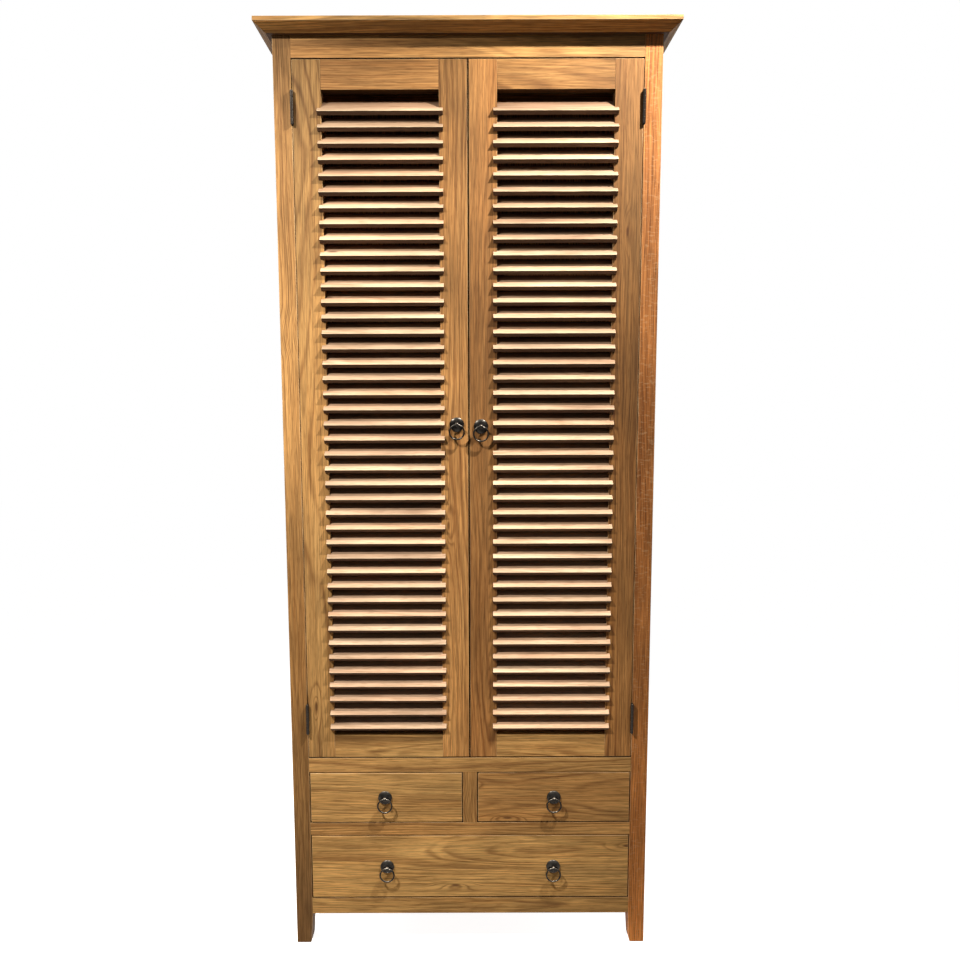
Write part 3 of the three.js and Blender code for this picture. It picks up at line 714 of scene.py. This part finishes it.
for door, (side, (darkest_tone, paler_painted_light)) in enumerate(DOOR_TONES.items()):
    node = side + "_door_louvres"
    low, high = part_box(node)
    draw = np.random.default_rng(300 + door)
    pattern = lath(side + "_slat_pattern", (high.x - low.x, SLAT_WIDTH, SLAT_THICKNESS), SLAT_ARRIS)
    opening_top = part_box(side + "_door_top_rail")[0].z
    opening_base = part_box(side + "_door_bottom_rail")[1].z
    first = opening_top - FIRST_DROP
    pitch = (first - opening_base - LAST_RISE) / (SLATS - 1)
    bank = []
    for number in range(SLATS):
        slat = pattern.copy()
        slat.data = pattern.data.copy()
        bpy.context.scene.collection.objects.link(slat)
        # Painted light: each lower slat is painted a little paler
        darkest = darkest_tone + paler_painted_light * number / SLATS
        seed = 1000 * (door + 1) + number
        lay_grain(slat, X, seed, light=(darkest, darkest + SLAT_SPREAD), tint=SLAT_REDNESS)
        # Painted shade where the slat above shadows this one
        paint_shade_behind(slat)
        wobble = draw.uniform(-1, 1, 3)
        tilt = Matrix.Rotation(SLAT_TILT + UNEVEN_TILT * wobble[0], 4, "X")
        nose = Vector(((low.x + high.x) / 2 + UNEVEN_ACROSS * wobble[1],
                       FRONT - NOSE_REACH + UNEVEN_REACH * wobble[2], first - number * pitch))
        slat.data.transform(Matrix.Translation(nose) @ tilt)
        bank.append(slat)
    bpy.data.objects.remove(pattern)
    for end in (low.x, high.x - BEAD_WIDTH):
        bead = lath(side + "_bead", (BEAD_WIDTH, BEAD_DEPTH, high.z - low.z), BEAD_ARRIS)
        bead.data.transform(Matrix.Translation((end + BEAD_WIDTH / 2, FRAME_BACK - BEAD_DEPTH, high.z)))
        lay_grain(bead, Z, 1900 + door)
        bank.append(bead)
    louvres = joined(node + "_bank", bank)
    smooth(louvres)
    dress(louvres, node)
    print(louvres.name, "has", len(louvres.data.polygons), "faces, pitch", round(pitch / MM, 2), "mm")

# %% [markdown]
# ## Ring pulls
# Each pull is a cast rosette, a smooth dome that runs out to a thin rim and up to a short neck, with an eye
# and a loose ring of round wire. A threaded stem runs through the wood to a hexagonal nut behind. The round
# parts are turned as on a lathe: a circle is extruded and scaled from ring to ring along a profile.


# %% Turning helper
def turn(name, profile, sides):
    """Turns (radius, height) steps in millimetres about the Z axis into one closed shape."""
    bpy.ops.object.select_all(action="DESELECT")
    radius, height = profile[0]
    bpy.ops.mesh.primitive_circle_add(vertices=sides, radius=radius * MM, fill_type="NGON",
                                      location=(0, 0, height * MM))
    piece = bpy.context.object
    piece.name = name
    bpy.ops.object.transform_apply(location=True, rotation=True, scale=True)
    bpy.ops.object.mode_set(mode="EDIT")
    bpy.context.tool_settings.mesh_select_mode = (False, False, True)
    bpy.ops.mesh.select_all(action="SELECT")
    for next_radius, next_height in profile[1:]:
        rise = (next_height - height) * MM
        bpy.ops.mesh.extrude_region_move(TRANSFORM_OT_translate={"value": (0, 0, rise)})
        scale = next_radius / radius
        bpy.ops.transform.resize(value=(scale, scale, 1), center_override=(0, 0, next_height * MM))
        radius, height = next_radius, next_height
    bpy.ops.mesh.select_all(action="SELECT")
    bpy.ops.mesh.normals_make_consistent(inside=False)
    bpy.ops.object.mode_set(mode="OBJECT")
    return piece


# %% Pull sizes
# In millimetres; a profile holds radii and heights over the wood's front, or behind its back for the nut
TOWARDS_ROOM = Matrix.Rotation(math.radians(90), 4, "X")
ROSETTE = [(15.6, 0.3), (15.6, 1.5), (15.2, 2.2), (14.0, 3.0), (12.0, 4.1), (9.6, 5.0), (7.0, 5.7),
           (5.0, 6.1), (3.6, 6.5), (3.0, 7.0), (2.7, 7.8), (2.6, 8.6), (1.2, 9.0)]
NUT = [(3.9, 0.35), (4.5, 0.8), (4.5, 3.4), (3.9, 3.8)]
STEM, STEM_END = 1.8, 5.5
EYE_REACH, EYE_RADIUS, EYE_WIRE, EYE_WIDENED = 9.5, 3.65, 1.08, 2.75
RING, WIRE = 15.7, 1.8
GRIP_TOP, GRIP_SWELL = -25, 0.12
print("a pull's rosette is", 2 * ROSETTE[0][0], "mm across, its ring", 2 * (RING + WIRE), "mm")


# %% Pull parts
def torus(radius, wire, steps):
    """A ring of round wire about the Z axis, sizes in millimetres."""
    bpy.ops.object.select_all(action="DESELECT")
    bpy.ops.mesh.primitive_torus_add(major_radius=radius * MM, minor_radius=wire * MM, major_segments=steps,
                                     minor_segments=16)
    return bpy.context.object


def pull_base(name, thickness):
    """Rosette, neck and eye in front, stem and nut behind, about the point where the stem enters the wood."""
    rosette = turn(name, ROSETTE, 48)
    stem = turn(name + "_stem", [(STEM, -thickness - STEM_END), (STEM, 1)], 16)
    nut = turn(name + "_nut", [(radius, -thickness - behind) for radius, behind in NUT], 6)
    for part in (rosette, stem, nut):
        part.data.transform(TOWARDS_ROOM)
    eye = torus(EYE_RADIUS, EYE_WIRE, 36)
    bpy.ops.object.mode_set(mode="EDIT")
    bpy.ops.mesh.select_all(action="SELECT")
    bpy.ops.transform.resize(value=(1, 1, EYE_WIDENED), center_override=(0, 0, 0))
    bpy.ops.object.mode_set(mode="OBJECT")
    sideways = Matrix.Rotation(math.radians(90), 4, "Y")
    eye.data.transform(Matrix.Translation((0, -EYE_REACH * MM, 0)) @ sideways)
    return joined(name, [rosette, stem, nut, eye])


def pull_ring(name):
    """The loose ring, hanging from the eye, a little stouter at the foot where it is gripped."""
    ring = torus(RING, WIRE, 72)
    ring.name = name
    ring.data.transform(Matrix.Translation((0, -EYE_REACH * MM, -RING * MM)) @ TOWARDS_ROOM)
    bpy.ops.object.mode_set(mode="EDIT")
    shape = bmesh.from_edit_mesh(ring.data)
    bpy.ops.mesh.select_all(action="DESELECT")
    for vertex in shape.verts:
        vertex.select_set(vertex.co.z < GRIP_TOP * MM)
    bmesh.update_edit_mesh(ring.data)
    bpy.ops.transform.shrink_fatten(value=-GRIP_SWELL * MM)
    bpy.ops.mesh.select_all(action="SELECT")
    bpy.ops.mesh.normals_make_consistent(inside=False)
    bpy.ops.object.mode_set(mode="OBJECT")
    return ring


# %% Cast the six pulls
for name in [node[:-len("_ring")] for node in body_of if node.endswith("_pull_ring")]:
    body = body_of[name + "_base"]
    board = body + ("_meeting_stile" if "door" in body else "_front")
    thickness = (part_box(board)[1].y - FRONT) / MM
    ring_low, ring_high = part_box(name + "_ring")
    place = Vector(((ring_low.x + ring_high.x) / 2, FRONT, ring_high.z - WIRE * MM))
    for part, made in (("_base", pull_base(name + "_base_cast", thickness)),
                       ("_ring", pull_ring(name + "_ring_bent"))):
        made.data.transform(Matrix.Translation(place))
        smooth(made, 40)
        # Painted reflection of a bright ceiling on what faces up
        paint_sheen(made)
        dress(made, name + part)
    print(name, "at", [round(value, 4) for value in place])

# %% [markdown]
# ## Butt hinges
# A butt hinge is two plates let into the edges of the post and the stile, with five knuckles on one pin. Only
# the barrel shows while the door is closed; the plates and their slotted screws show when it opens. The
# barrel's knuckles are turned with softened ends, so that dark lines part them, and the pin ends in a
# rounded tip above and below.

# %% Hinge sizes
# In millimetres from the pin; the leaves start in the plane of the wood's front
LEAF_NEAR, LEAF_FAR = 0.75, 2.05
LEAF_START, LEAF_DEPTH = 3.9, 20
LEAF_HALF = 35
BARREL = 3.5
KNUCKLES, KNUCKLE, KNUCKLE_GAP = 5, 14, 0.15
KNUCKLE_END = [(3.0, 0), (3.35, 0.12), (BARREL, 0.5)]
WRAP_INSET, WRAP_REACH = 0.3, 1.3
TIP = [(2.4, 0), (2.5, 0.4), (2.3, 0.9), (1.7, 1.3), (0.8, 1.5)]
TIP_HEIGHT = TIP[-1][1]
SCREW_HEIGHTS = (-25, 0, 25)
SCREW_DEPTH = 14
SCREW_HEAD = [(3.1, -0.4), (3.1, 0.0), (2.7, 0.16), (1.4, 0.24)]
SLOT_REACH, SLOT_HALF, SLOT_BOTTOM, SLOT_TOP = 3.4, 0.4, -0.1, 1
pins = {joint["child"]: joint["pos_m"] for joint in record["behaviour"]["joints"]
        if joint["name"].endswith("_door_hinge")}
print("hinge pins at", pins)


# %% Hinge parts
def plate(name, low, high, arris):
    """A flat metal plate between two corners in millimetres, its edges broken."""
    piece = block(name, Vector(low) * MM, Vector(high) * MM)
    bpy.ops.object.mode_set(mode="EDIT")
    bpy.ops.mesh.select_all(action="SELECT")
    bpy.ops.mesh.bevel(offset=arris * MM, segments=2, affect="EDGES")
    bpy.ops.object.mode_set(mode="OBJECT")
    return piece


def screw(name, toward):
    """A countersunk screw head with a slot, flush in the leaf's open face."""
    head = turn(name, SCREW_HEAD, 20)
    slot = plate(name + "_slot", (-SLOT_REACH, -SLOT_HALF, SLOT_BOTTOM),
                 (SLOT_REACH, SLOT_HALF, SLOT_TOP), 0.05)
    pick_only(head)
    cut = head.modifiers.new("slot", "BOOLEAN")
    cut.operation = "DIFFERENCE"
    cut.object = slot
    bpy.ops.object.modifier_apply(modifier=cut.name)
    bpy.data.objects.remove(slot)
    head.data.transform(Matrix.Rotation(math.radians(-90 * toward), 4, "Y"))
    return head


def barrel_tip(name, end):
    """The pin's rounded end over or under the barrel; end is 1 at the top and -1 at the bottom."""
    tip = turn(name, TIP, 20)
    if end < 0:
        tip.data.transform(Matrix.Rotation(math.radians(180), 4, "X"))
    tip.data.transform(Matrix.Translation((0, 0, end * (LEAF_HALF - KNUCKLE_GAP - TIP_HEIGHT) * MM)))
    return tip


def hinge_leaf(name, toward, on_frame):
    """One leaf about the pin: its plate, its knuckles and its screws; toward is 1 where it lies at +X.

    The frame's leaf has the first, third and fifth knuckle and the pin's tips, the door's leaf the others.
    """
    near, far = sorted((toward * LEAF_NEAR, toward * LEAF_FAR))
    parts = [plate(name, (near, LEAF_START, -LEAF_HALF), (far, LEAF_START + LEAF_DEPTH, LEAF_HALF), 0.2)]
    for index in range(0 if on_frame else 1, KNUCKLES, 2):
        base = index * KNUCKLE - LEAF_HALF + KNUCKLE_GAP + TIP_HEIGHT * (index == 0)
        top = (index + 1) * KNUCKLE - LEAF_HALF - KNUCKLE_GAP - TIP_HEIGHT * (index == KNUCKLES - 1)
        steps = [(radius, base + inset) for radius, inset in KNUCKLE_END]
        steps += [(radius, top - inset) for radius, inset in reversed(KNUCKLE_END)]
        parts.append(turn(name + "_knuckle", steps, 28))
        parts.append(plate(name + "_wrap", (near, 0, base + WRAP_INSET),
                           (far, LEAF_START + WRAP_REACH, top - WRAP_INSET), 0.15))
    if on_frame:
        parts += [barrel_tip(name + "_tip", end) for end in (-1, 1)]
    for height in SCREW_HEIGHTS:
        head = screw(name + "_screw", toward)
        place = Vector((toward * LEAF_NEAR, LEAF_START + SCREW_DEPTH, height)) * MM
        head.data.transform(Matrix.Translation(place))
        parts.append(head)
    return joined(name, parts)


# %% Roll the eight leaves
for node in [name for name in body_of if name.endswith("_leaf")]:
    low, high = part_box(node)
    side = "right" if node.startswith("right") else "left"
    on_frame = "frame" in node
    toward = 1 if on_frame == (side == "right") else -1
    leaf = hinge_leaf(node + "_rolled", toward, on_frame)
    pin_x, pin_y, _ = pins[side + "_door"]
    leaf.data.transform(Matrix.Translation((pin_x, pin_y, (low.z + high.z) / 2)))
    smooth(leaf, 40)
    # Painted reflection of a bright ceiling on what faces up
    paint_sheen(leaf)
    dress(leaf, node)
    print(node, "at", round((low.z + high.z) / 2, 4))

# %% [markdown]
# ## Floor, background and lamps
# The photograph was taken under two ceiling spots and then cut out on white. One lamp hangs close in front
# on the right and throws short, steep shadows under every slat; the other hangs further off on the left and
# fills them. Both are small, so their shadows are crisp. Two larger lamps stand low behind the cabinet, where
# they light its sides and its back but nothing of its front. The world adds a plain, low fill. White for the
# camera comes from the colour of the world and the floor, not from more light on the wood.

# %% Floor and world
WHITE = (1, 1, 1, 1)
FLOOR_SIZE = 14


def direct_rays(tree):
    """Is 1 for what the camera sees, straight, in a gloss or through glass, and 0 for light on its way."""
    rays = add(tree, "ShaderNodeLightPath").outputs
    seen = add(tree, MATH, {0: rays["Is Camera Ray"], 1: rays["Is Glossy Ray"]}, operation="MAXIMUM")
    return add(tree, MATH, {0: seen, 1: rays["Is Transmission Ray"]}, operation="MAXIMUM")


bpy.ops.object.select_all(action="DESELECT")
bpy.ops.mesh.primitive_plane_add(size=FLOOR_SIZE, location=(0, 0, 0))
floor = bpy.context.object
floor.name = "floor"
floor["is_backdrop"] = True
floor_material, tree = new_material("floor_painted_white")
bounce = add(tree, "ShaderNodeBsdfDiffuse", {"Color": paint("#857459")})
matte = add(tree, "ShaderNodeBsdfDiffuse", {"Color": WHITE})
glow = add(tree, "ShaderNodeEmission", {"Color": WHITE, "Strength": 0.95})
lifted = add(tree, "ShaderNodeAddShader", {0: matte, 1: glow})
shown = add(tree, "ShaderNodeMixShader", {0: direct_rays(tree), 1: bounce, 2: lifted})
add(tree, "ShaderNodeOutputMaterial", {"Surface": shown})
floor.data.materials.append(floor_material)

world = bpy.data.worlds.new("room")
bpy.context.scene.world = world
world.use_nodes = True
tree = world.node_tree
tree.nodes.clear()
fill = add(tree, "ShaderNodeBackground", {"Color": WHITE, "Strength": 0.05})
backdrop = add(tree, "ShaderNodeBackground", {"Color": WHITE, "Strength": 1.0})
both = add(tree, "ShaderNodeMixShader", {0: direct_rays(tree), 1: fill, 2: backdrop})
add(tree, "ShaderNodeOutputWorld", {"Surface": both})
print("floor is", FLOOR_SIZE, "m wide")


# %% Lamps
def spot_lamp(name, place, target, watts, cone, radius, colour):
    """A spot that fades out to its cone's edge, aimed at target; a larger radius gives softer light."""
    lamp = bpy.data.lights.new(name, "SPOT")
    lamp.energy = watts
    lamp.spot_size = math.radians(cone)
    lamp.spot_blend = 1
    lamp.shadow_soft_size = radius
    lamp.color = paint(colour)[:3]
    spot = bpy.data.objects.new(name, lamp)
    bpy.context.scene.collection.objects.link(spot)
    spot.location = place
    spot.rotation_euler = (Vector(target) - Vector(place)).to_track_quat("-Z", "Y").to_euler()


spot_lamp("right_spot", (0.75, -0.68, 2.55), (-0.6, -0.2, 0.6), 210, 68, 0.02, "#fffaf2")
spot_lamp("left_spot", (-1.15, -1.1, 2.55), (-0.4, -0.2, 0.7), 205, 84, 0.03, "#fffaf2")
spot_lamp("left_back_lamp", (-2.4, 1.6, 0.9), (0, 0, 0.7), 190, 58, 0.4, "#ffffff")
spot_lamp("right_back_lamp", (2.4, 1.6, 0.9), (0, 0, 0.7), 190, 58, 0.4, "#ffffff")
print("lamps:", [lamp.name for lamp in bpy.data.lights])

bpy.context.scene.view_settings.view_transform = "Standard"

# %% Sizes, and finish
low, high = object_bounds()
print("visual box:", [round(value, 4) for value in (*low, *high)])
